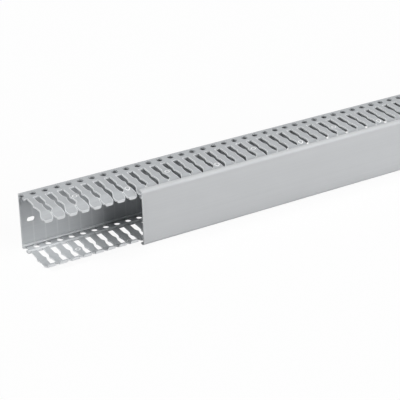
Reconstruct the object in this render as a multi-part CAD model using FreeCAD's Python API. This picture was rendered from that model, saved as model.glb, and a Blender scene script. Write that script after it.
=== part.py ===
"""Slotted wiring duct: a rigid channel with two finger walls and its cover.

The duct lies on one finger wall with its cover slid back from the near end.
The origin is the middle of the space it takes up, at floor level: X runs along
the duct, the back plate's outer face points to +Y and the open side with the
cover to -Y. All sizes are millimetres.

A place on a finger wall is given by its reach, the distance from the back
plate's outer face, and its depth, measured from the wall's outer face into the
duct.
"""

import FreeCAD
import Part

import os
from math import cos, radians, sin, tan

Vector = FreeCAD.Vector

# Overall sizes
LENGTH = 1000.0
WIDTH = 59.0
HEIGHT = 59.0
COVER_SHIFT = 102.0

# Channel section
BACK_THICKNESS = 1.8
WALL_THICKNESS = 1.6
RIB_LEVEL = 3.2
RIB_THICKNESS = 1.0
RIB_REACH = 3.6
BAND_START = 10.6
BAND_END = 13.4
BAND_RISE = 0.4

# Finger heads: a steep slope, a gentle slope, then an inturned lip; each inset
# is measured from the cover's outer face
HEAD_START_INSET = 13.4
HEAD_BEND_INSET = 10.6
HEAD_BEND_DEPTH = 2.5
LIP_INSET = 3.5
LIP_FACE_DEPTH = 4.4
LIP_DEPTH = 7.4
LIP_THICKNESS = 1.6

# Slots along both finger walls
PITCH = 12.5
SLOT_ROOT = 14.3
SLOT_WIDTH = 6.4
NECK_WIDTH = 2.9
NECK_CENTRE = 31.3
NECK_REACH_IN = 3.8
NECK_REACH_OUT = 5.4
BLUNT_SIDE_INSET = 13.8
BLUNT_INSET = 12.8
POINTED_SIDE_INSET = 15.2
POINTED_INSET = 9.6
SLIT_WIDTH = 0.8
LIP_GAP = 2.6

# Wire holes, one below each slot
WIRE_HOLE_DIAMETER = 6.0
WIRE_HOLE_SIDES = 6
WIRE_HOLE_CENTRE = 6.2

# Fixing slots in the back plate
FIXING_PITCH = 25.0
FIXING_FIRST = 10.6
FIXING_LENGTH = 8.6
FIXING_WIDTH = 5.3
FULLY_ROUND_EVERY = 13

# Cover
COVER_THICKNESS = 1.6
COVER_CORNER_RADIUS = 3.0
FLANGE_THICKNESS = 1.3
FLANGE_REACH = 6.0
HOOK_THICKNESS = 1.2
BARB_RISE = 0.9
BARB_LENGTH = 1.2
FIT_CLEARANCE = 0.2

# Reaches of the heads and the lips
HEAD_START = HEIGHT - HEAD_START_INSET
HEAD_BEND = HEIGHT - HEAD_BEND_INSET
LIP_FACE = HEIGHT - LIP_INSET

# Where the channel's near end and the back plate's outer face stand
NEAR_END = -(LENGTH + COVER_SHIFT) / 2
BACK_FACE = HEIGHT / 2

# Room that a cutter has past the faces it goes through
CUTTER_MARGIN = 1.0


def mirrored(half):
    """Complete a section outline from the upper wall's half, front to back."""
    return half + [(y, WIDTH - z) for y, z in reversed(half)]


def extrude_section(outline, start):
    """Extrude a (y, z) outline along the duct for its whole length."""
    corners = [Vector(start, y, z) for y, z in outline]
    face = Part.Face(Part.makePolygon(corners + corners[:1]))
    return face.extrude(Vector(LENGTH, 0.0, 0.0))


def extrude_plan(outline, low, high):
    """Raise a closed (distance along, reach) outline from one level to another."""
    corners = [Vector(NEAR_END + x, BACK_FACE - reach, low) for x, reach in outline]
    face = Part.Face(Part.makePolygon(corners + corners[:1]))
    return face.extrude(Vector(0.0, 0.0, high - low))


def upper(reach, depth):
    """Turn a reach and a depth into a section point of the upper wall."""
    return BACK_FACE - reach, WIDTH - depth


def build_channel_blank():
    """Extrude the channel's section, before its slots and holes."""
    rise = (LIP_FACE_DEPTH - HEAD_BEND_DEPTH) / (LIP_FACE - HEAD_BEND)
    lip_back = LIP_FACE - LIP_THICKNESS
    under = WALL_THICKNESS * 1.15
    lip_root = LIP_FACE_DEPTH - rise * LIP_THICKNESS + under
    band = WALL_THICKNESS + BAND_RISE
    half = [
        upper(BACK_THICKNESS, RIB_LEVEL + RIB_THICKNESS),
        upper(RIB_REACH, RIB_LEVEL + RIB_THICKNESS),
        upper(RIB_REACH, RIB_LEVEL),
        upper(BACK_THICKNESS, RIB_LEVEL),
        upper(BACK_THICKNESS, WALL_THICKNESS),
        upper(BAND_START, WALL_THICKNESS),
        upper(BAND_START + BAND_RISE, band),
        upper(BAND_END - BAND_RISE, band),
        upper(BAND_END, WALL_THICKNESS),
        upper(HEAD_START - WALL_THICKNESS / 2, WALL_THICKNESS),
        upper(HEAD_BEND - WALL_THICKNESS / 3, HEAD_BEND_DEPTH + under),
        upper(lip_back, lip_root),
        upper(lip_back, LIP_DEPTH),
        upper(LIP_FACE, LIP_DEPTH),
        upper(LIP_FACE, LIP_FACE_DEPTH),
        upper(HEAD_BEND, HEAD_BEND_DEPTH),
        upper(HEAD_START, 0.0),
        upper(0.0, 0.0),
    ]
    return extrude_section(mirrored(half), NEAR_END)


def slot_outline(centre, pointed):
    """List a slot's plan outline; its slit widens to the gap between the lips."""
    side_inset = POINTED_SIDE_INSET if pointed else BLUNT_SIDE_INSET
    end_inset = POINTED_INSET if pointed else BLUNT_INSET
    half = [
        (SLOT_WIDTH / 2, SLOT_ROOT),
        (SLOT_WIDTH / 2, NECK_CENTRE - NECK_REACH_IN),
        (NECK_WIDTH / 2, NECK_CENTRE),
        (SLOT_WIDTH / 2, NECK_CENTRE + NECK_REACH_OUT),
        (SLOT_WIDTH / 2, HEIGHT - side_inset),
        (SLIT_WIDTH / 2, HEIGHT - end_inset),
        (LIP_GAP / 2, LIP_FACE + CUTTER_MARGIN),
    ]
    right = [(centre + width, reach) for width, reach in half]
    left = [(centre - width, reach) for width, reach in reversed(half)]
    return right + left


def wire_hole_outline(centre):
    """List a wire hole's outline, its corners on the true circle."""
    radius = WIRE_HOLE_DIAMETER / 2
    angles = [radians(360.0 * i / WIRE_HOLE_SIDES) for i in range(WIRE_HOLE_SIDES)]
    return [
        (centre + radius * cos(a), WIRE_HOLE_CENTRE + radius * sin(a)) for a in angles
    ]


def fixing_slot(centre, fully_round):
    """Make the cutter of one fixing slot; most have ends of a few flat faces."""
    radius = FIXING_WIDTH / 2
    run = FIXING_LENGTH / 2 - radius

    def corner(along, level):
        x = NEAR_END + centre + along
        return Vector(x, BACK_FACE + CUTTER_MARGIN, WIDTH / 2 + level)

    if fully_round:
        low = [corner(-run, -radius), corner(run, -radius)]
        high = [corner(run, radius), corner(-run, radius)]
        wire = Part.Wire([
            Part.makeLine(*low),
            Part.Arc(low[1], corner(run + radius, 0.0), high[0]).toShape(),
            Part.makeLine(*high),
            Part.Arc(high[1], corner(-run - radius, 0.0), low[0]).toShape(),
        ])
    else:
        flat = radius * tan(radians(22.5))
        right = [(run + flat, radius), (run + radius, flat)]
        right += [(along, -level) for along, level in reversed(right)]
        ring = [corner(*place) for place in right]
        ring += [corner(-along, -level) for along, level in right]
        wire = Part.makePolygon(ring + ring[:1])
    through = BACK_THICKNESS + 2 * CUTTER_MARGIN
    return Part.Face(wire).extrude(Vector(0.0, -through, 0.0))


def build_base_channel():
    """Cut the slots, wire holes and fixing slots into the channel."""
    centres = [PITCH * i for i in range(round(LENGTH / PITCH) + 1)]
    cutters = []
    for index, centre in enumerate(centres):
        slot = slot_outline(centre, pointed=index % 2 == 0)
        hole = wire_hole_outline(centre)
        for outline, wall in ((slot, LIP_DEPTH), (hole, WALL_THICKNESS)):
            inside = wall + CUTTER_MARGIN
            cutters.append(extrude_plan(outline, -CUTTER_MARGIN, inside))
            cutters.append(extrude_plan(outline, WIDTH - inside, WIDTH + CUTTER_MARGIN))
    fixings = int((LENGTH - FIXING_FIRST) / FIXING_PITCH) + 1
    cutters += [
        fixing_slot(FIXING_FIRST + FIXING_PITCH * i, i % FULLY_ROUND_EVERY == 0)
        for i in range(fixings)
    ]
    return build_channel_blank().cut(cutters)


def build_duct_cover():
    """Extrude the cover: its face, two flanges and the hooks behind the lips."""
    face = HEIGHT - COVER_THICKNESS
    hook_outer = LIP_DEPTH + FIT_CLEARANCE
    hook_inner = hook_outer + HOOK_THICKNESS
    barb = LIP_FACE - LIP_THICKNESS - FIT_CLEARANCE
    half = [
        upper(face, hook_inner),
        upper(barb - BARB_LENGTH, hook_inner),
        upper(barb - BARB_LENGTH, hook_outer),
        upper(barb, hook_outer - BARB_RISE),
        upper(barb, hook_outer),
        upper(face, hook_outer),
        upper(face, FLANGE_THICKNESS),
        upper(HEIGHT - FLANGE_REACH, FLANGE_THICKNESS),
        upper(HEIGHT - FLANGE_REACH, 0.0),
        upper(HEIGHT, 0.0),
    ]
    blank = extrude_section(mirrored(half), NEAR_END + COVER_SHIFT)
    corners = [
        edge for edge in blank.Edges
        if edge.Length > LENGTH / 2 and edge.CenterOfMass.y < BACK_FACE - HEIGHT + 0.01
    ]
    return blank.makeFillet(COVER_CORNER_RADIUS, corners)


def main():
    """Write one STEP file for each piece of the duct."""
    os.makedirs("parts", exist_ok=True)
    build_base_channel().exportStep("parts/base_channel.step")
    build_duct_cover().exportStep("parts/duct_cover.step")


main()
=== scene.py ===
"""Dressed scene of a slotted wiring duct: a finger-walled channel and its cover.

Sizes are in millimetres in the classes and become metres when a mesh is made.
A place on a finger wall is given by its distance along the duct, its reach
from the back plate's outer face and its depth below the wall's outer face.
"""

import logging
import math
from dataclasses import dataclass, field
from enum import Enum
from typing import Callable, Iterable, Sequence

import bmesh
import bpy
from mathutils import Matrix, Vector
from mathutils.geometry import area_tri, delaunay_2d_cdt

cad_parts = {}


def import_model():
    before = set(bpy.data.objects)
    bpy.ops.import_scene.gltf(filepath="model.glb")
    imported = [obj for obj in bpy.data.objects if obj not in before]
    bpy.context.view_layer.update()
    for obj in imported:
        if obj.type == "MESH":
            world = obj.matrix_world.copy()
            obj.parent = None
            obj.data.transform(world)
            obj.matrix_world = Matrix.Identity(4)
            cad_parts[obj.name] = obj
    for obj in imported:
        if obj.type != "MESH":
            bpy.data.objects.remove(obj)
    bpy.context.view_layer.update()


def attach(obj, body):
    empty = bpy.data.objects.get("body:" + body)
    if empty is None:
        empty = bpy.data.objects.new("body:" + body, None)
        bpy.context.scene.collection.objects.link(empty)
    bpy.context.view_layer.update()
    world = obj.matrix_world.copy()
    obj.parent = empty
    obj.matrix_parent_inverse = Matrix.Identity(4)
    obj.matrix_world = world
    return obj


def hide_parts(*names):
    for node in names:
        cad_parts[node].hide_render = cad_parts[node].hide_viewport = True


MM = 0.001
MICRONS_PER_METRE = 1e6
WHITE = (1.0, 1.0, 1.0, 1.0)

# Attribute of the faces in the pale edge material: cut walls whitened by the punch, and painted
# highlights
PALE = "pale edge"

# Vertices closer than this, in metres, are merged
MERGE_DISTANCE = 2e-6

# Corners of a flat region closer than this, in millimetres, are one, and a
# triangle of less than this, in square millimetres, is left out
FILL_TOLERANCE = 1e-5

# Sockets of the Mix node's colours, whose names its other sockets share
COLOUR_A, COLOUR_B, COLOUR_RESULT = 6, 7, 2

logging.basicConfig(level=logging.INFO, format="%(message)s")
log = logging.getLogger("wiring_duct")


class Wall(Enum):
    """The two finger walls of the channel."""

    UPPER = "upper"
    LOWER = "lower"


class SlotEnd(Enum):
    """How a slot closes towards the finger heads."""

    BLUNT = "blunt"
    POINTED = "pointed"


@dataclass(frozen=True)
class DuctSizes:
    """Sizes that the channel and the cover share, in millimetres."""

    length: float = 1000.0
    width: float = 59.0
    height: float = 59.0
    cover_shift: float = 102.0
    pitch: float = 12.5
    plate_thickness: float = 1.8
    wall_thickness: float = 1.6

    @property
    def near_end(self) -> float:
        """Where the channel's near end stands along X."""
        return -(self.length + self.cover_shift) / 2

    @property
    def back_face(self) -> float:
        """Where the back plate's outer face stands along Y."""
        return self.height / 2

    def place(self, along: float, reach: float, level: float) -> Vector:
        """Turn a place on the duct into metres in the frame.

        Args:
            along: Distance from the channel's near end.
            reach: Distance from the back plate's outer face.
            level: Height above the floor.

        Returns:
            The point in metres.
        """
        return Vector((self.near_end + along, self.back_face - reach, level)) * MM

    def row(self, stops: Iterable[float], reach: float, level: float) -> list[Vector]:
        """Points at one reach and level, one for each stop along the duct."""
        return [self.place(along, reach, level) for along in stops]

    def level(self, wall: Wall, depth: float) -> float:
        """Height of a depth below the outer face of one of the walls."""
        return self.width - depth if wall is Wall.UPPER else depth


def is_inside(x: float, y: float, outline: Sequence[tuple[float, float]]) -> bool:
    """Tell whether a place lies inside an outline.

    Args:
        x: The place's first coordinate.
        y: Its second coordinate.
        outline: Corners in order, of which the last one is joined to the first.

    Returns:
        True inside.
    """
    crossings = 0
    for (x0, y0), (x1, y1) in zip(outline, [*outline[1:], outline[0]]):
        if (y0 > y) != (y1 > y):
            crossings += x < x0 + (x1 - x0) * (y - y0) / (y1 - y0)
    return crossings % 2 == 1


class Sketch:
    """A mesh in the making, whose vertices are shared by their place."""

    def __init__(self) -> None:
        """Start with no vertices and no faces."""
        self.points: list[Vector] = []
        self.faces: list[tuple[int, ...]] = []
        self.pale: list[bool] = []
        self._found: dict[tuple[int, int, int], int] = {}

    def vertex(self, point: Vector) -> int:
        """Number of the vertex at a point, which is added if it is new.

        Args:
            point: Place of the vertex in metres.

        Returns:
            The vertex's index.
        """
        key = tuple(round(value * MICRONS_PER_METRE) for value in point)
        if key not in self._found:
            self._found[key] = len(self.points)
            self.points.append(Vector(point))
        return self._found[key]

    def face(self, points: Iterable[Vector], pale: bool = False) -> None:
        """Add a face, leaving out corners that fall together.

        Args:
            points: The corners in order.
            pale: Whether the face gets the pale material of whitened cuts and painted highlights.
        """
        corners: list[int] = []
        for point in points:
            index = self.vertex(point)
            if index not in corners:
                corners.append(index)
        if len(corners) > 2:
            self.faces.append(tuple(corners))
            self.pale.append(pale)

    def strip(
        self,
        first: Sequence[Vector],
        second: Sequence[Vector],
        pale: Sequence[bool] | bool = False,
    ) -> None:
        """Join two rows of points of the same length with quads.

        Args:
            first: One row.
            second: The other row, in the same direction.
            pale: Whether the quads belong to a pale edge, for all or each.
        """
        for i in range(len(first) - 1):
            mark = pale if isinstance(pale, bool) else pale[i]
            self.face((first[i], first[i + 1], second[i + 1], second[i]), mark)

    def fill(
        self,
        border: Sequence[tuple[float, float]],
        holes: Sequence[Sequence[tuple[float, float]]],
        place: Callable[[float, float], Vector],
    ) -> None:
        """Fill a flat region that has holes, or bites at its border, with triangles.

        Args:
            border: Corners of the region's outline.
            holes: Outlines of the holes, as open or closed runs of points.
            place: Turns a place of the region into metres in the frame.
        """
        points: list[Vector] = []
        edges: list[tuple[int, int]] = []
        for run in ([*border, border[0]], *holes):
            first = len(points)
            points += [Vector(p) for p in run]
            edges += [(i, i + 1) for i in range(first, len(points) - 1)]
        made, _, faces, *_ = delaunay_2d_cdt(points, edges, [], 0, FILL_TOLERANCE)
        for face in faces:
            corners = [made[i] for i in face]
            x, y = (corners[0] + corners[1] + corners[2]) / 3
            flat = area_tri(*corners) < FILL_TOLERANCE
            if not flat and not any(is_inside(x, y, hole) for hole in holes):
                self.face(place(*corner) for corner in corners)

    def to_mesh(self, name: str) -> bpy.types.Mesh:
        """Make a Blender mesh of the sketch.

        Args:
            name: Name of the new mesh.

        Returns:
            The mesh, in metres.
        """
        mesh = bpy.data.meshes.new(name)
        mesh.from_pydata([tuple(p) for p in self.points], [], self.faces)
        marks = mesh.attributes.new(PALE, "BOOLEAN", "FACE")
        marks.data.foreach_set("value", self.pale)
        return mesh


def add_object(name: str, data: bpy.types.ID) -> bpy.types.Object:
    """Put a mesh, a lamp or a camera into the scene as an object at the origin.

    Args:
        name: Name of the new object.
        data: Its mesh, light or camera data.

    Returns:
        The object.
    """
    piece = bpy.data.objects.new(name, data)
    bpy.context.scene.collection.objects.link(piece)
    return piece


def bake_modifiers(piece: bpy.types.Object) -> None:
    """Turn what an object's modifiers make into its plain mesh.

    Args:
        piece: The object, which keeps its name and loses its modifiers.
    """
    bpy.context.view_layer.update()
    graph = bpy.context.evaluated_depsgraph_get()
    mesh = bpy.data.meshes.new_from_object(piece.evaluated_get(graph), depsgraph=graph)
    piece.modifiers.clear()
    old = piece.data
    piece.data = mesh
    mesh.name = piece.name
    bpy.data.meshes.remove(old)


def close_shell(piece: bpy.types.Object) -> None:
    """Merge a piece's doubles and turn its faces outwards.

    Args:
        piece: A mesh object whose surface is closed once it is merged.
    """
    shell = bmesh.new()
    shell.from_mesh(piece.data)
    bmesh.ops.remove_doubles(shell, verts=shell.verts, dist=MERGE_DISTANCE)
    bmesh.ops.recalc_face_normals(shell, faces=shell.faces)
    open_edges = sum(1 for edge in shell.edges if not edge.is_manifold)
    shell.to_mesh(piece.data)
    shell.free()
    log.info("%s: %d faces, %d open edges", piece.name, len(piece.data.polygons), open_edges)


def shade_smooth(piece: bpy.types.Object, sharp_from: float = 32.0) -> None:
    """Shade a piece smooth except where it turns by more than so many degrees."""
    piece.data.shade_smooth()
    piece.data.set_sharp_from_angle(angle=math.radians(sharp_from))


def soften_edges(piece: bpy.types.Object, radius: float, segments: int, angle: float) -> None:
    """Round a piece's sharp edges and shade it smooth.

    Args:
        piece: The object to finish.
        radius: Width of the rounding in millimetres.
        segments: Steps across each rounding.
        angle: Edges that turn by more than this many degrees are rounded.
    """
    bevel = piece.modifiers.new("soft edges", "BEVEL")
    bevel.width = radius * MM
    bevel.segments = segments
    bevel.limit_method = "ANGLE"
    bevel.angle_limit = math.radians(angle)
    bevel.use_clamp_overlap = True
    bake_modifiers(piece)
    shade_smooth(piece)


def add_node(
    tree: bpy.types.NodeTree,
    kind: str,
    values: dict[str | int, object] | None = None,
    links: dict[str | int, bpy.types.NodeSocket | bpy.types.Node] | None = None,
    **settings: object,
) -> bpy.types.Node:
    """Add a node with its settings, its input values and its links.

    Args:
        tree: The tree that gets the node.
        kind: Blender's name for the kind of node.
        values: Input values by the socket's name or number.
        links: What goes to an input, by the input's name or number: an output
            socket, or a node for its first output.
        **settings: Properties of the node itself.

    Returns:
        The new node.
    """
    node = tree.nodes.new(kind)
    for name, value in settings.items():
        setattr(node, name, value)
    for name, value in (values or {}).items():
        node.inputs[name].default_value = value
    for name, source in (links or {}).items():
        socket = source.outputs[0] if isinstance(source, bpy.types.Node) else source
        tree.links.new(socket, node.inputs[name])
    return node


def repeat_tree(name: str) -> bpy.types.NodeTree:
    """Build the Geometry Nodes tree that repeats a cell along the duct.

    Args:
        name: Name of the new tree.

    Returns:
        The tree, whose inputs are Cell, Count, Pitch, Finish and Edge Finish.
    """
    tree = bpy.data.node_groups.new(name, "GeometryNodeTree")
    for socket, kind in (
        ("Cell", "Geometry"), ("Count", "Int"), ("Pitch", "Float"),
        ("Finish", "Material"), ("Edge Finish", "Material"),
    ):
        tree.interface.new_socket(socket, in_out="INPUT", socket_type=f"NodeSocket{kind}")
    tree.interface.new_socket("Row", in_out="OUTPUT", socket_type="NodeSocketGeometry")
    inputs = add_node(tree, "NodeGroupInput")
    step = add_node(tree, "ShaderNodeCombineXYZ", links={"X": inputs.outputs["Pitch"]})
    line = add_node(
        tree, "GeometryNodeMeshLine", links={"Count": inputs.outputs["Count"], "Offset": step}
    )
    spread = add_node(
        tree, "GeometryNodeInstanceOnPoints",
        links={"Points": line, "Instance": inputs.outputs["Cell"]},
    )
    real = add_node(tree, "GeometryNodeRealizeInstances", links={"Geometry": spread})
    merged = add_node(
        tree, "GeometryNodeMergeByDistance",
        values={"Distance": MERGE_DISTANCE}, links={"Geometry": real},
    )
    dressed = add_node(
        tree, "GeometryNodeSetMaterial",
        links={"Geometry": merged, "Material": inputs.outputs["Finish"]},
    )
    marked = add_node(
        tree, "GeometryNodeInputNamedAttribute", values={"Name": PALE}, data_type="BOOLEAN"
    )
    edged = add_node(
        tree, "GeometryNodeSetMaterial",
        links={"Geometry": dressed, "Selection": marked, "Material": inputs.outputs["Edge Finish"]},
    )
    add_node(tree, "NodeGroupOutput", links={"Row": edged})
    return tree


def repeat_along(
    piece: bpy.types.Object,
    count: int,
    pitch: float,
    finish: bpy.types.Material,
    edge_finish: bpy.types.Material,
) -> None:
    """Repeat a cell's mesh along the duct and bake the row into the piece.

    Args:
        piece: The object that holds the cell.
        count: How many times the cell stands along the duct.
        pitch: Distance from cell to cell in millimetres.
        finish: Material of the row.
        edge_finish: Material of the faces that are marked as pale.
    """
    tree = repeat_tree(f"{piece.name} row")
    modifier = piece.modifiers.new("row", "NODES")
    modifier.node_group = tree
    given = {"Count": count, "Pitch": pitch * MM, "Finish": finish, "Edge Finish": edge_finish}
    for item in tree.interface.items_tree:
        if item.in_out == "INPUT" and item.name in given:
            modifier[item.identifier] = given[item.name]
    bake_modifiers(piece)
    bpy.data.node_groups.remove(tree)


def read_between(knots: Sequence[tuple[float, float]], at: float) -> float:
    """Read a line through knots, level past the last one.

    Args:
        knots: Places in order, each with its value.
        at: The place to read.

    Returns:
        The value.
    """
    for (x0, y0), (x1, y1) in zip(knots, knots[1:]):
        if at <= x1:
            return y0 + (y1 - y0) * (at - x0) / (x1 - x0)
    return knots[-1][1]


@dataclass(frozen=True)
class FingerWallShape:
    """The finger walls' slots, holes and section, in millimetres."""

    thickness: float = DuctSizes.wall_thickness
    hole_radius: float = 3.4
    hole_centre: float = 6.2
    hole_sides: int = 16
    band_start: float = 10.6
    band_end: float = 13.4
    band_rise: float = 0.4
    slot_root: float = 14.3
    slot_half: float = 3.2
    slot_half_outer: float = 2.9
    neck_half: float = 1.45
    neck_centre: float = 31.3
    neck_in: float = 3.8
    neck_out: float = 5.4
    blunt_side_end: float = 45.2
    blunt_end: float = 46.2
    pointed_side_end: float = 43.8
    pointed_end: float = 49.4
    blunt_slit_half: float = 0.35
    pointed_slit_half: float = 0.65
    lip_gap_half: float = 2.1
    head_start: float = 45.6
    head_bend: float = 48.4
    head_bend_depth: float = 2.5
    lip_face: float = 55.5
    lip_face_depth: float = 4.4
    lip_depth: float = 7.4
    lip_thickness: float = 1.6
    rim: float = 0.6
    corner_window: float = 0.7
    fold_window: float = 1.8
    head_thickening: float = 0.15
    # Reaches of the rows of points across a finger, on its flat part and its head
    flat_rows: tuple[float, ...] = (26.8, 28.6, 30.4, 31.3, 32.2, 34.2, 36.0, 37.4, 43.6)
    head_rows: tuple[float, ...] = (44.8, 45.9, 46.9, 47.9, 49.2, 50.8, 52.2, 53.4, 54.5, 55.2)
    # How the slit widens: distance before the lip's face, and what each side gains
    slit_flare: tuple[tuple[float, float], ...] = ((3.8, 0.0), (2.6, 0.3), (1.6, 0.7), (0.7, 1.2))
    # How the lip's end is rounded: share of its depth, and inset from each pitch
    lip_rounding: tuple[tuple[float, float], ...] = (
        (0.3, 2.1), (0.52, 2.2), (0.72, 2.5), (0.89, 3.1), (1.0, 4.1),
    )

    @property
    def band_section(self) -> tuple[tuple[float, float], ...]:
        """The raised band on the wall's inner side, as reach and depth."""
        crest = self.thickness + self.band_rise
        return (
            (self.band_start, self.thickness),
            (self.band_start + self.band_rise, crest),
            (self.band_end - self.band_rise, crest),
            (self.band_end, self.thickness),
        )

    def slot_half_width(self, end: SlotEnd, reach: float) -> float:
        """Half the slot's width at a reach, with its corners eased.

        Args:
            end: How the slot closes.
            reach: Distance from the back plate's outer face.

        Returns:
            Half the width in millimetres.
        """
        blunt = end is SlotEnd.BLUNT
        side_end = self.blunt_side_end if blunt else self.pointed_side_end
        closed = self.blunt_end if blunt else self.pointed_end
        slit = self.blunt_slit_half if blunt else self.pointed_slit_half
        knots = (
            (0.0, self.slot_half),
            (self.neck_centre - self.neck_in, self.slot_half),
            (self.neck_centre, self.neck_half),
            (self.neck_centre + self.neck_out, self.slot_half_outer),
            (side_end, self.slot_half_outer),
            (closed, slit),
            *((self.lip_face - before, slit + gain) for before, gain in self.slit_flare),
            (self.lip_face, self.lip_gap_half),
        )
        # The corners at the slot's root stay sharp
        eased = reach >= self.slot_root + self.corner_window
        places = [reach + self.corner_window * i / 2 for i in range(-2, 3)] if eased else [reach]
        return sum(read_between(knots, r) for r in places) / len(places)

    def outer_depth(self, reach: float) -> float:
        """Depth of the wall's outer face at a reach, its folds eased.

        Args:
            reach: Distance from the back plate's outer face.

        Returns:
            The depth in millimetres.
        """
        knots = (
            (0.0, 0.0),
            (self.head_start, 0.0),
            (self.head_bend, self.head_bend_depth),
            (self.lip_face, self.lip_face_depth),
        )
        window = min(self.fold_window, max(self.lip_face - reach, 0.0))
        places = [reach + window * i / 4 for i in range(-4, 5)]
        return sum(read_between(knots, r) for r in places) / len(places)

    def finger_rows(self) -> list[tuple[float, float, float, float]]:
        """List the rows of points across a finger, from its root to its lip's face.

        Returns:
            Each row's outer reach and depth, then its inner reach and depth.
        """
        rows = [(r, 0.0, r, self.thickness) for r in (self.slot_root, *self.flat_rows)]
        last, lip_back = self.flat_rows[-1], self.lip_face - self.lip_thickness
        for reach in (*self.head_rows, self.lip_face):
            share = (reach - last) / (self.lip_face - last)
            inner = last + share * (lip_back - last)
            under = self.thickness * (1 + self.head_thickening * min(1.0, 2 * share))
            rows.append((reach, self.outer_depth(reach), inner, self.outer_depth(inner) + under))
        return rows


@dataclass
class FingerWalls:
    """The two slotted walls of one cell of the channel, two pitches long."""

    sizes: DuctSizes
    shape: FingerWallShape = field(default_factory=FingerWallShape)

    @property
    def cell(self) -> float:
        """Length of one cell in millimetres."""
        return 2 * self.sizes.pitch

    def draw(self, sketch: Sketch) -> None:
        """Draw both walls of the first cell.

        Args:
            sketch: The channel's cell.
        """
        for wall in Wall:
            self._draw_hole_strip(sketch, wall)
            for index in range(2):
                self._draw_finger(sketch, wall, index)

    @property
    def hole_places(self) -> tuple[float, ...]:
        """Places of the wire holes along the cell, of which the outer two are halves."""
        return 0.0, self.sizes.pitch, self.cell

    def root_stops(self) -> list[float]:
        """List the places along the cell where the row of slot roots has corners.

        Returns:
            Distances from the cell's start.
        """
        half, rim, pitch = self.shape.slot_half, self.shape.rim, self.sizes.pitch
        one = [half, half + rim, pitch - half - rim, pitch - half]
        return [0.0, *one, *(pitch + stop for stop in one), 2 * pitch]

    def over_slot(self, low: float, high: float) -> bool:
        """Whether a stretch between two stops lies over a slot."""
        middle = (low + high) / 2 % self.sizes.pitch
        return min(middle, self.sizes.pitch - middle) < self.shape.slot_half

    def hole_arc(self, centre: float, radius: float) -> list[tuple[float, float]]:
        """Outline of the part of a wire hole that lies in the cell.

        Args:
            centre: Place of the hole along the cell.
            radius: The hole's radius, or its rim's.

        Returns:
            Points as distance along and reach, in order round the hole.
        """
        sides = self.shape.hole_sides
        first = sides // 2 if centre >= self.cell else 0
        last = sides // 2 if centre <= 0.0 else sides
        points = []
        for i in range(first, last + 1):
            angle = 2 * math.pi * i / sides - math.pi / 2
            reach = self.shape.hole_centre + radius * math.sin(angle)
            points.append((centre + radius * math.cos(angle), reach))
        return points

    def _draw_hole_strip(self, sketch: Sketch, wall: Wall) -> None:
        """Draw the wall from the back plate to the slot roots.

        Args:
            sketch: The channel's cell.
            wall: The wall to draw.
        """
        sizes, shape = self.sizes, self.shape
        outer, inner = sizes.level(wall, 0.0), sizes.level(wall, shape.thickness)
        stops, ends = self.root_stops(), (0.0, self.cell)
        over = [self.over_slot(low, high) for low, high in zip(stops, stops[1:])]
        root_rim = shape.slot_root - shape.rim
        arcs = [self.hole_arc(x, shape.hole_radius) for x in self.hole_places]
        rims = [self.hole_arc(x, shape.hole_radius + shape.rim) for x in self.hole_places]
        for level, low, high, top in (
            (outer, 0.0, root_rim, stops),
            (inner, sizes.plate_thickness, shape.band_start, ends),
        ):
            sketch.fill(
                [(0.0, low), (self.cell, low), *((x, high) for x in reversed(top))],
                rims,
                lambda x, r, level=level: sizes.place(x, r, level),
            )
            for arc, rim in zip(arcs, rims):
                sketch.strip(
                    [sizes.place(x, r, level) for x, r in rim],
                    [sizes.place(x, r, level) for x, r in arc],
                )
            # The rim beside each slot's root is drawn pale: a painted highlight.
            sketch.strip(
                sizes.row(stops, root_rim, level), sizes.row(stops, shape.slot_root, level), over
            )
        # On the lower wall the holes' walls are drawn pale: whitened by the punch, and painted
        # light from the white floor below.
        for arc in arcs:
            sketch.strip(
                [sizes.place(x, r, outer) for x, r in arc],
                [sizes.place(x, r, inner) for x, r in arc],
                pale=wall is Wall.LOWER,
            )
        # The raised band is drawn pale: a painted highlight along it.
        bands = [sizes.row(ends, r, sizes.level(wall, d)) for r, d in shape.band_section]
        for first, second in zip(bands, bands[1:]):
            sketch.strip(first, second, pale=True)
        sketch.face(bands[-1] + sizes.row(reversed(stops), root_rim, inner))
        for edge, cut in zip(zip(stops, stops[1:]), over):
            if cut:
                sketch.strip(
                    sizes.row(edge, shape.slot_root, outer),
                    sizes.row(edge, shape.slot_root, inner),
                    pale=True,
                )

    def _draw_finger(self, sketch: Sketch, wall: Wall, index: int) -> None:
        """Draw one finger from its root to its lip.

        Args:
            sketch: The channel's cell.
            wall: The wall that the finger belongs to.
            index: Which of the cell's two fingers it is.
        """
        sizes, shape = self.sizes, self.shape
        ends = (SlotEnd.POINTED, SlotEnd.BLUNT)
        first, second = ends if index == 0 else reversed(ends)
        start, stop = sizes.pitch * index, sizes.pitch * (index + 1)
        sections = shape.finger_rows()
        rows = []
        for section in sections:
            sides = []
            for reach, depth in (section[:2], section[2:]):
                low = start + shape.slot_half_width(first, reach)
                high = stop - shape.slot_half_width(second, reach)
                sides.append((reach, sizes.level(wall, depth), low, high))
            rows.append(self._across(*sides))
        lip_back, root = shape.lip_face - shape.lip_thickness, sections[-1][3]
        for share, inset in shape.lip_rounding:
            depth = shape.lip_face_depth + share * (shape.lip_depth - shape.lip_face_depth)
            width = (start + inset, stop - inset)
            rows.append(self._across(
                (shape.lip_face, sizes.level(wall, depth), *width),
                (lip_back, sizes.level(wall, max(depth, root)), *width),
            ))
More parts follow.
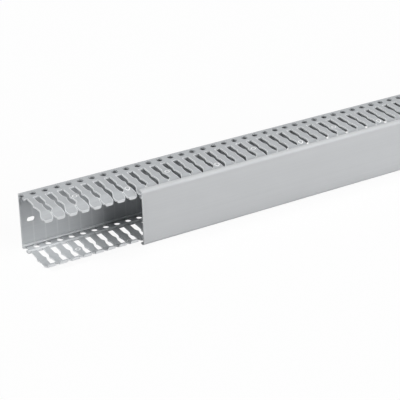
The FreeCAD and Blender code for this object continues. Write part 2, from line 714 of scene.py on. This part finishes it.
        # Which of a row's eight sides are pale: three outer ones, a slot's edge, three inner ones
        # and the other slot's edge. The pale rims and the lip's outer face are painted highlights.
        # seen is true on the upper wall only, whose inner rims, lip and lip end get painted
        # highlights too; on the lower wall these stay plain, as they lie in shade.
        seen = wall is Wall.UPPER
        finger_sides = (True, False, True, True, seen, False, seen, True)
        lip_sides = (True, True, True, seen, seen, seen, seen, seen)
        for i, (near, far) in enumerate(zip(rows, rows[1:])):
            pale = finger_sides if i < len(sections) - 1 else lip_sides
            sketch.strip((*near, near[0]), (*far, far[0]), pale)
        last = rows[-1]
        sketch.strip(last[:4], last[:3:-1], pale=seen)

    def _across(self, *sides: tuple[float, float, float, float]) -> list[Vector]:
        """Points round a finger at one of its rows.

        Args:
            *sides: The row's outer and inner side, as reach, level, start and stop.

        Returns:
            Eight points, with a rim beside each of the finger's edges.
        """
        rim = self.shape.rim
        outer, inner = (
            self.sizes.row((low, low + rim, high - rim, high), reach, level)
            for reach, level, low, high in sides
        )
        return outer + inner[::-1]


@dataclass(frozen=True)
class BackPlateShape:
    """The back plate's section and fixing slots, in millimetres."""

    thickness: float = DuctSizes.plate_thickness
    rib_level: float = 3.2
    rib_thickness: float = 1.0
    rib_reach: float = 3.6
    fixing_first: float = 10.6
    fixing_length: float = 8.6
    fixing_width: float = 5.3
    fixing_arc_steps: int = 8

    @property
    def corner_section(self) -> tuple[tuple[float, float], ...]:
        """The plate's inner corner with its rib, as reach and depth."""
        rib_top = self.rib_level + self.rib_thickness
        return (
            (self.thickness, rib_top),
            (self.rib_reach, rib_top),
            (self.rib_reach, self.rib_level),
            (self.thickness, self.rib_level),
            (self.thickness, DuctSizes.wall_thickness),
        )


@dataclass
class BackPlate:
    """The slotted back plate of one cell, with the ribs at its corners."""

    sizes: DuctSizes
    cell: float
    shape: BackPlateShape = field(default_factory=BackPlateShape)

    def fixing_outline(self) -> list[tuple[float, float]]:
        """Outline of the fixing slot.

        Returns:
            Points as distance along and level, the first one again at the end.
        """
        shape = self.shape
        radius = shape.fixing_width / 2
        run = shape.fixing_length / 2 - radius
        middle = self.sizes.width / 2
        points = []
        for side in (1.0, -1.0):
            for i in range(shape.fixing_arc_steps + 1):
                angle = math.pi * i / shape.fixing_arc_steps - math.pi / 2
                along = side * (run + radius * math.cos(angle))
                level = middle + side * radius * math.sin(angle)
                points.append((shape.fixing_first + along, level))
        return points + points[:1]

    def draw(self, sketch: Sketch) -> None:
        """Draw the back plate of the first cell.

        Args:
            sketch: The channel's cell.
        """
        sizes, shape = self.sizes, self.shape
        outline = self.fixing_outline()
        for reach, low in ((0.0, 0.0), shape.corner_section[0]):
            high = sizes.width - low
            sketch.fill(
                [(0.0, low), (self.cell, low), (self.cell, high), (0.0, high)],
                [outline],
                lambda x, z, reach=reach: sizes.place(x, reach, z),
            )
        sketch.strip(
            [sizes.place(x, 0.0, z) for x, z in outline],
            [sizes.place(x, shape.thickness, z) for x, z in outline],
        )
        # The rib along the lower wall is drawn pale: a painted highlight.
        for wall in Wall:
            rows = [
                sizes.row((0.0, self.cell), reach, sizes.level(wall, depth))
                for reach, depth in shape.corner_section
            ]
            for first, second in zip(rows, rows[1:]):
                sketch.strip(first, second, pale=wall is Wall.LOWER)


@dataclass
class Channel:
    """The base channel: its repeated cell and its two cut ends."""

    sizes: DuctSizes

    def build(self, finish: bpy.types.Material, rim: bpy.types.Material) -> bpy.types.Object:
        """Make the channel in one piece.

        Args:
            finish: Material of the channel.
            rim: Material of its punched edges and its painted highlights.

        Returns:
            The channel's object.
        """
        walls = FingerWalls(self.sizes)
        plate = BackPlate(self.sizes, walls.cell)
        sketch = Sketch()
        walls.draw(sketch)
        plate.draw(sketch)
        channel = add_object("channel_dressed", sketch.to_mesh("channel_dressed"))
        channel.data.materials.append(finish)
        count = round(self.sizes.length / walls.cell)
        repeat_along(channel, count, walls.cell, finish, rim)
        self._close_ends(channel, walls, plate)
        close_shell(channel)
        shade_smooth(channel)
        log.info("channel: %d cells of %.0f mm", count, walls.cell)
        return channel

    def _close_ends(
        self, channel: bpy.types.Object, walls: FingerWalls, plate: BackPlate
    ) -> None:
        """Add the faces of the two saw cuts, which pass through wire holes.

        Args:
            channel: The channel's object, which gets the faces.
            walls: Its finger walls.
            plate: Its back plate.
        """
        sizes, shape = self.sizes, walls.shape
        thick, root, rim = shape.thickness, shape.slot_root, shape.rim
        near = shape.hole_centre - shape.hole_radius
        far = shape.hole_centre + shape.hole_radius
        corner = [(near, 0.0), (near - rim, 0.0), (0.0, 0.0)]
        inside = [*plate.shape.corner_section, (near - rim, thick), (near, thick)]
        band = [
            (far, 0.0), (far + rim, 0.0), (root - rim, 0.0), (root, 0.0),
            (root, thick), (root - rim, thick), *reversed(shape.band_section),
            (far + rim, thick), (far, thick),
        ]
        ring = [(Wall.UPPER, *place) for place in corner]
        ring += [(Wall.LOWER, *place) for place in reversed(inside + corner)]
        ring += [(Wall.UPPER, *place) for place in inside]
        outlines = [ring] + [[(wall, *place) for place in band] for wall in Wall]
        caps = Sketch()
        for along in (0.0, sizes.length):
            for outline in outlines:
                caps.face(sizes.place(along, r, sizes.level(wall, d)) for wall, r, d in outline)
        shell = bmesh.new()
        shell.from_mesh(channel.data)
        mesh = caps.to_mesh("cut ends")
        shell.from_mesh(mesh)
        shell.to_mesh(channel.data)
        shell.free()
        bpy.data.meshes.remove(mesh)


@dataclass(frozen=True)
class CoverShape:
    """The cover's section, in millimetres."""

    thickness: float = 1.6
    corner_radius: float = 3.0
    corner_steps: int = 8
    flange_thickness: float = 1.3
    flange_reach: float = 6.0
    hook_thickness: float = 1.2
    barb_rise: float = 0.9
    barb_length: float = 1.2
    clearance: float = 0.2


@dataclass
class Cover:
    """The clip-on cover, one plain extrusion."""

    sizes: DuctSizes
    walls: FingerWallShape = field(default_factory=FingerWallShape)
    shape: CoverShape = field(default_factory=CoverShape)

    def half_section(self) -> list[tuple[float, float]]:
        """List the section's upper half, from its inside to its outside.

        Returns:
            Corners as reach and depth.
        """
        sizes, shape, walls = self.sizes, self.shape, self.walls
        face = sizes.height - shape.thickness
        outer = walls.lip_depth + shape.clearance
        inner = outer + shape.hook_thickness
        barb = walls.lip_face - walls.lip_thickness - shape.clearance
        flange_end = sizes.height - shape.flange_reach
        half = [
            (face, inner),
            (barb - shape.barb_length, inner),
            (barb - shape.barb_length, outer),
            (barb, outer - shape.barb_rise),
            (barb, outer),
            (face, outer),
            (face, shape.flange_thickness),
            (flange_end, shape.flange_thickness),
            (flange_end, 0.0),
        ]
        radius = shape.corner_radius
        for i in range(shape.corner_steps + 1):
            angle = math.pi / 2 * i / shape.corner_steps
            half.append((
                sizes.height - radius + radius * math.sin(angle),
                radius - radius * math.cos(angle),
            ))
        return half

    def build(self, finish: bpy.types.Material, cut: bpy.types.Material) -> bpy.types.Object:
        """Make the cover where it lies, slid back from the near end.

        Args:
            finish: Material of the cover.
            cut: Material of its sawn ends: whitened by the saw, and a painted highlight.

        Returns:
            The cover's object.
        """
        sizes = self.sizes
        half = self.half_section()
        ring = [(r, sizes.level(Wall.UPPER, d)) for r, d in half]
        ring += [(r, sizes.level(Wall.LOWER, d)) for r, d in reversed(half)]
        sketch = Sketch()
        near, far = (
            [sizes.place(along, r, z) for r, z in ring]
            for along in (sizes.cover_shift, sizes.cover_shift + sizes.length)
        )
        sketch.strip((*near, near[0]), (*far, far[0]))
        sketch.face(near)
        sketch.face(far)
        cover = add_object("cover_dressed", sketch.to_mesh("cover_dressed"))
        cover.data.materials.append(finish)
        cover.data.materials.append(cut)
        # The last two faces are the sawn ends, drawn pale: whitened by the saw, and a painted
        # highlight
        for face in cover.data.polygons[-2:]:
            face.material_index = 1
        close_shell(cover)
        soften_edges(cover, radius=0.2, segments=2, angle=60.0)
        return cover


def linear(hex_colour: str) -> tuple[float, float, float, float]:
    """Turn an sRGB hex colour into linear values.

    Args:
        hex_colour: Six hex digits after a hash sign.

    Returns:
        Red, green, blue and alpha in linear light.
    """
    parts = [int(hex_colour[i:i + 2], 16) / 255 for i in (1, 3, 5)]
    red, green, blue = (
        c / 12.92 if c <= 0.04045 else ((c + 0.055) / 1.055) ** 2.4 for c in parts
    )
    return red, green, blue, 1.0


def distance_in_row(
    tree: bpy.types.NodeTree, value: bpy.types.NodeSocket, centre: float, every: float
) -> bpy.types.Node:
    """Build the nodes for the distance from the nearest place in an even row.

    Args:
        tree: The material's tree.
        value: The coordinate along the row, in metres.
        centre: One of the places, in metres.
        every: Distance from place to place, in metres.

    Returns:
        The node that gives the distance in metres.
    """
    folded = add_node(
        tree, "ShaderNodeMath", operation="WRAP", links={0: value},
        values={1: centre + every / 2, 2: centre - every / 2},
    )
    apart = add_node(
        tree, "ShaderNodeMath", operation="SUBTRACT", links={0: folded}, values={1: centre}
    )
    return add_node(tree, "ShaderNodeMath", operation="ABSOLUTE", links={0: apart})


@dataclass(frozen=True)
class KnockoutHighlight:
    """Pale ring on every eighth finger: a painted highlight on the rim of a semi-pierced knockout,
    whose relief is not modelled.
    """

    along: float
    reach: float
    sizes: DuctSizes = DuctSizes()
    radius: float = 2.2
    line: float = 1.1
    every: int = 8

    def mask(self, tree: bpy.types.NodeTree, axes: bpy.types.Node) -> bpy.types.Node:
        """Build the nodes that find the ring.

        Args:
            tree: The material's tree.
            axes: The piece's own coordinates, one by one.

        Returns:
            The node that gives 1 on the ring and 0 off it.
        """
        centre = self.sizes.place(self.along, self.reach, 0.0)
        across = add_node(
            tree, "ShaderNodeMath", operation="SUBTRACT",
            links={0: axes.outputs["Y"]}, values={1: centre.y},
        )
        along = distance_in_row(
            tree, axes.outputs["X"], centre.x, self.every * self.sizes.pitch * MM
        )
        flat = add_node(tree, "ShaderNodeCombineXYZ", links={"X": along, "Y": across})
        apart = add_node(tree, "ShaderNodeVectorMath", operation="LENGTH", links={0: flat})
        off = add_node(
            tree, "ShaderNodeMath", operation="SUBTRACT",
            links={0: apart.outputs["Value"]}, values={1: self.radius * MM},
        )
        size = add_node(tree, "ShaderNodeMath", operation="ABSOLUTE", links={0: off})
        return add_node(
            tree, "ShaderNodeMapRange",
            values={
                "From Min": self.line / 4 * MM, "From Max": self.line / 2 * MM,
                "To Min": 1.0, "To Max": 0.0,
            },
            links={"Value": size},
        )


@dataclass(frozen=True)
class PlateStreak:
    """Faint pale streak across the back plate beside every slot."""

    sizes: DuctSizes = DuctSizes()
    width: float = 2.0
    strength: float = 0.13
    margin: float = 0.1

    def mask(self, tree: bpy.types.NodeTree, axes: bpy.types.Node) -> bpy.types.Node:
        """Build the nodes that find the streaks.

        Args:
            tree: The material's tree.
            axes: The piece's own coordinates, one by one.

        Returns:
            The node that gives their strength in their middle and 0 off them.
        """
        off = distance_in_row(
            tree, axes.outputs["X"], self.sizes.near_end * MM, self.sizes.pitch * MM
        )
        streak = add_node(
            tree, "ShaderNodeMapRange",
            values={
                "From Min": 0.0, "From Max": self.width / 2 * MM,
                "To Min": self.strength, "To Max": 0.0,
            },
            links={"Value": off},
        )
        inner_face = (self.sizes.back_face - self.sizes.plate_thickness - self.margin) * MM
        plate = add_node(
            tree, "ShaderNodeMath", operation="GREATER_THAN",
            links={0: axes.outputs["Y"]}, values={1: inner_face},
        )
        return add_node(
            tree, "ShaderNodeMath", operation="MULTIPLY", links={0: streak, 1: plate}
        )


# Rigid PVC leaves the die smooth but not polished: the eye sees an even tone
# with a soft sheen and no mirror image. The die's scratches run along the piece
# and the pull of the haul-off leaves slow clouds of lighter and darker grey.
# Real die lines stand about 0.4 mm apart and real grain is about 0.2 mm; both
# are drawn about four times coarser, because they would not show at this distance.
@dataclass(frozen=True)
class ExtrudedPvc:
    """Rigid PVC as extruded: matt grey, with faint die lines along its run."""

    name: str
    light: str
    dark: str
    marks: tuple[KnockoutHighlight | PlateStreak, ...] = ()
    mark_colour: str = "#FFFFFF"
    roughness: tuple[float, float] = (0.55, 0.66)
    relief: float = 0.1
    grain_mm: float = 0.9
    die_line_mm: float = 1.6
    cloud_mm: float = 36.0
    line_stretch: float = 0.004
    cloud_share: float = 0.45
    relief_mm: float = 0.2
    noise_span: tuple[float, float] = (0.3, 0.7)

    def build(self) -> bpy.types.Material:
        """Make the material.

        Returns:
            The material, its pattern fixed to the piece.
        """
        material = bpy.data.materials.new(self.name)
        material.use_nodes = True
        tree = material.node_tree
        tree.nodes.clear()
        here = add_node(tree, "ShaderNodeTexCoord").outputs["Object"]
        span = dict(zip(("From Min", "From Max"), self.noise_span))
        stretch = add_node(
            tree, "ShaderNodeMapping",
            values={"Scale": (self.line_stretch, 1.0, 1.0)}, links={"Vector": here},
        )
        lines, clouds, grain = (
            add_node(
                tree, "ShaderNodeTexNoise",
                values={"Scale": 1 / (size * MM), "Detail": detail, "Roughness": roughness},
                links={"Vector": vector},
            )
            for size, detail, roughness, vector in (
                (self.die_line_mm, 2.0, 0.6, stretch),
                (self.cloud_mm, 3.0, 0.55, here),
                (self.grain_mm, 2.0, 0.6, here),
            )
        )
        share = add_node(
            tree, "ShaderNodeMix", data_type="FLOAT",
            values={"Factor": self.cloud_share}, links={"A": lines, "B": clouds},
        )
        tint = add_node(tree, "ShaderNodeMapRange", values=span, links={"Value": share})
        tone = add_node(
            tree, "ShaderNodeMix", data_type="RGBA",
            values={COLOUR_A: linear(self.dark), COLOUR_B: linear(self.light)},
            links={"Factor": tint},
        )
        axes = add_node(tree, "ShaderNodeSeparateXYZ", links={"Vector": here})
        for mark in self.marks:
            tone = add_node(
                tree, "ShaderNodeMix", data_type="RGBA",
                values={COLOUR_B: linear(self.mark_colour)},
                links={"Factor": mark.mask(tree, axes), COLOUR_A: tone.outputs[COLOUR_RESULT]},
            )
        gloss = add_node(
            tree, "ShaderNodeMapRange", links={"Value": grain},
            values=span | dict(zip(("To Min", "To Max"), self.roughness)),
        )
        relief = add_node(tree, "ShaderNodeMix", data_type="FLOAT", links={"A": lines, "B": grain})
        bump = add_node(
            tree, "ShaderNodeBump",
            values={"Strength": self.relief, "Distance": self.relief_mm * MM},
            links={"Height": relief},
        )
        shader = add_node(
            tree, "ShaderNodeBsdfPrincipled",
            values={"IOR": 1.53, "Specular IOR Level": 0.35},
            links={"Base Color": tone.outputs[COLOUR_RESULT], "Roughness": gloss, "Normal": bump},
        )
        add_node(tree, "ShaderNodeOutputMaterial", links={"Surface": shader})
        return material


@dataclass(frozen=True)
class DistantLamp:
    """A large lamp far away, so that it lights the whole duct evenly."""

    name: str
    azimuth: float
    elevation: float
    spread: float
    energy: float

    def build(self) -> None:
        """Add the lamp; azimuth 0 is straight in front of the open side."""
        light = bpy.data.lights.new(self.name, "SUN")
        light.energy = self.energy
        light.angle = math.radians(self.spread)
        lamp = add_object(self.name, light)
        azimuth, elevation = math.radians(self.azimuth), math.radians(self.elevation)
        towards = Vector((
            math.sin(azimuth) * math.cos(elevation),
            -math.cos(azimuth) * math.cos(elevation),
            math.sin(elevation),
        ))
        lamp.rotation_euler = (-towards).to_track_quat("-Z", "Y").to_euler()


@dataclass(frozen=True)
class Studio:
    """Floor, sky, lamps and camera round the duct."""

    floor_half: float = 6.0
    floor_grey: str = "#C4C4C4"
    floor_share: float = 0.93
    sky_colour: str = "#F4F6F8"
    sky_strength: float = 0.05
    lamps: tuple[DistantLamp, ...] = (
        DistantLamp("front lamp", azimuth=38.0, elevation=12.0, spread=60.0, energy=3.15),
        DistantLamp("side lamp", azimuth=-103.0, elevation=45.0, spread=20.0, energy=2.4),
    )
    camera_place: tuple[float, float, float] = (-0.9601, -1.0115, 0.6199)
    azimuth: float = 30.328
    elevation: float = 27.287
    roll: float = -0.691
    focal_px: float = 1308.23
    frame_px: float = 400.0
    sensor_mm: float = 36.0

    def build(self) -> None:
        """Put the studio round the duct."""
        self._build_floor()
        self._build_sky()
        for lamp in self.lamps:
            lamp.build()
        self._add_camera()

    def _build_floor(self) -> None:
        """Add the pale floor, which shows white to the camera and keeps the shadow."""
        half = self.floor_half
        mesh = bpy.data.meshes.new("floor")
        mesh.from_pydata(
            [(-half, -half, 0.0), (half, -half, 0.0), (half, half, 0.0), (-half, half, 0.0)],
            [], [(0, 1, 2, 3)],
        )
        floor = add_object("floor", mesh)
        material = bpy.data.materials.new("pale studio floor")
        material.use_nodes = True
        tree = material.node_tree
        tree.nodes.clear()
        rays = add_node(tree, "ShaderNodeLightPath")
        colour = add_node(
            tree, "ShaderNodeMix", data_type="RGBA",
            values={COLOUR_A: linear(self.floor_grey), COLOUR_B: WHITE},
            links={"Factor": rays.outputs["Is Camera Ray"]},
        )
        shade = add_node(
            tree, "ShaderNodeBsdfDiffuse", links={"Color": colour.outputs[COLOUR_RESULT]}
        )
        white = add_node(tree, "ShaderNodeEmission", values={"Color": WHITE})
        part = add_node(
            tree, "ShaderNodeMath", operation="MULTIPLY",
            links={0: rays.outputs["Is Camera Ray"]}, values={1: self.floor_share},
        )
        mixed = add_node(tree, "ShaderNodeMixShader", links={0: part, 1: shade, 2: white})
        add_node(tree, "ShaderNodeOutputMaterial", links={"Surface": mixed})
        mesh.materials.append(material)

    def _build_sky(self) -> None:
        """Light the scene evenly and show white behind it."""
        world = bpy.data.worlds.new("studio sky")
        world.use_nodes = True
        bpy.context.scene.world = world
        tree = world.node_tree
        tree.nodes.clear()
        soft = add_node(
            tree, "ShaderNodeBackground",
            values={"Color": linear(self.sky_colour), "Strength": self.sky_strength},
        )
        white = add_node(tree, "ShaderNodeBackground", values={"Color": WHITE})
        rays = add_node(tree, "ShaderNodeLightPath")
        seen = add_node(
            tree, "ShaderNodeMath", operation="MAXIMUM",
            links={0: rays.outputs["Is Camera Ray"], 1: rays.outputs["Is Glossy Ray"]},
        )
        mixed = add_node(tree, "ShaderNodeMixShader", links={0: seen, 1: soft, 2: white})
        add_node(tree, "ShaderNodeOutputWorld", links={"Surface": mixed})

    def _add_camera(self) -> None:
        """Add the camera at the photograph's viewing angle."""
        azimuth, elevation, roll = (
            math.radians(a) for a in (self.azimuth, self.elevation, self.roll)
        )
        ahead = Vector((
            math.sin(azimuth) * math.cos(elevation),
            math.cos(azimuth) * math.cos(elevation),
            -math.sin(elevation),
        ))
        level = Vector((math.cos(azimuth), -math.sin(azimuth), 0.0))
        upright = level.cross(ahead)
        right = math.cos(roll) * level + math.sin(roll) * upright
        above = math.cos(roll) * upright - math.sin(roll) * level
        lens = bpy.data.cameras.new("camera")
        lens.sensor_width = self.sensor_mm
        lens.lens = self.focal_px * self.sensor_mm / self.frame_px
        camera = add_object("camera", lens)
        turn = Matrix((right, above, -ahead)).transposed().to_4x4()
        camera.matrix_world = Matrix.Translation(self.camera_place) @ turn
        bpy.context.scene.camera = camera


def main() -> None:
    """Build the duct and its studio."""
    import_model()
    bpy.context.scene.view_settings.view_transform = "Standard"
    sizes = DuctSizes()
    marks = (
        # The rings on every eighth finger are painted highlights on the rims of semi-pierced
        # knockouts.
        KnockoutHighlight(along=43.75, reach=33.0),
        KnockoutHighlight(along=93.75, reach=44.5),
        PlateStreak(),
    )
    # The channel's PVC is filled with chalk, which gives it a cool grey and a
    # surface that is a little rougher than the cover's.
    channel_pvc = ExtrudedPvc(
        "extruded grey PVC", light="#C1C4C6", dark="#B9BCBF", relief=0.35, marks=marks
    ).build()
    # Cold PVC turns white where a punch shears it, so the slots' cut walls show pale, with a
    # painted highlight added. The same pale material paints highlights on the fingers' rims and
    # lips, the raised bands, the lower rib and the cover's sawn ends, and painted light from the
    # floor in the lower holes; these show as pale lines round the darker openings.
    edge_pvc = ExtrudedPvc("stress-whitened PVC edge and painted highlight", light="#E8EAEC", dark="#DEE0E2").build()
    # The cover is the same kind of PVC, a little less cool, which tells the two pieces apart. It is
    # drawn paler than the channel as painted light, which lifts its face above the channel's
    # inside.
    cover_pvc = ExtrudedPvc("extruded grey PVC, painted paler", light="#D7D9DB", dark="#D2D4D6").build()

    channel = Channel(sizes).build(channel_pvc, edge_pvc)
    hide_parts("base_channel")
    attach(channel, "channel")
    log.info("channel ready")

    cover = Cover(sizes).build(cover_pvc, edge_pvc)
    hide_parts("duct_cover")
    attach(cover, "cover")
    log.info("cover ready")

    Studio().build()
    log.info("studio ready")


if __name__ == "__main__":
    main()
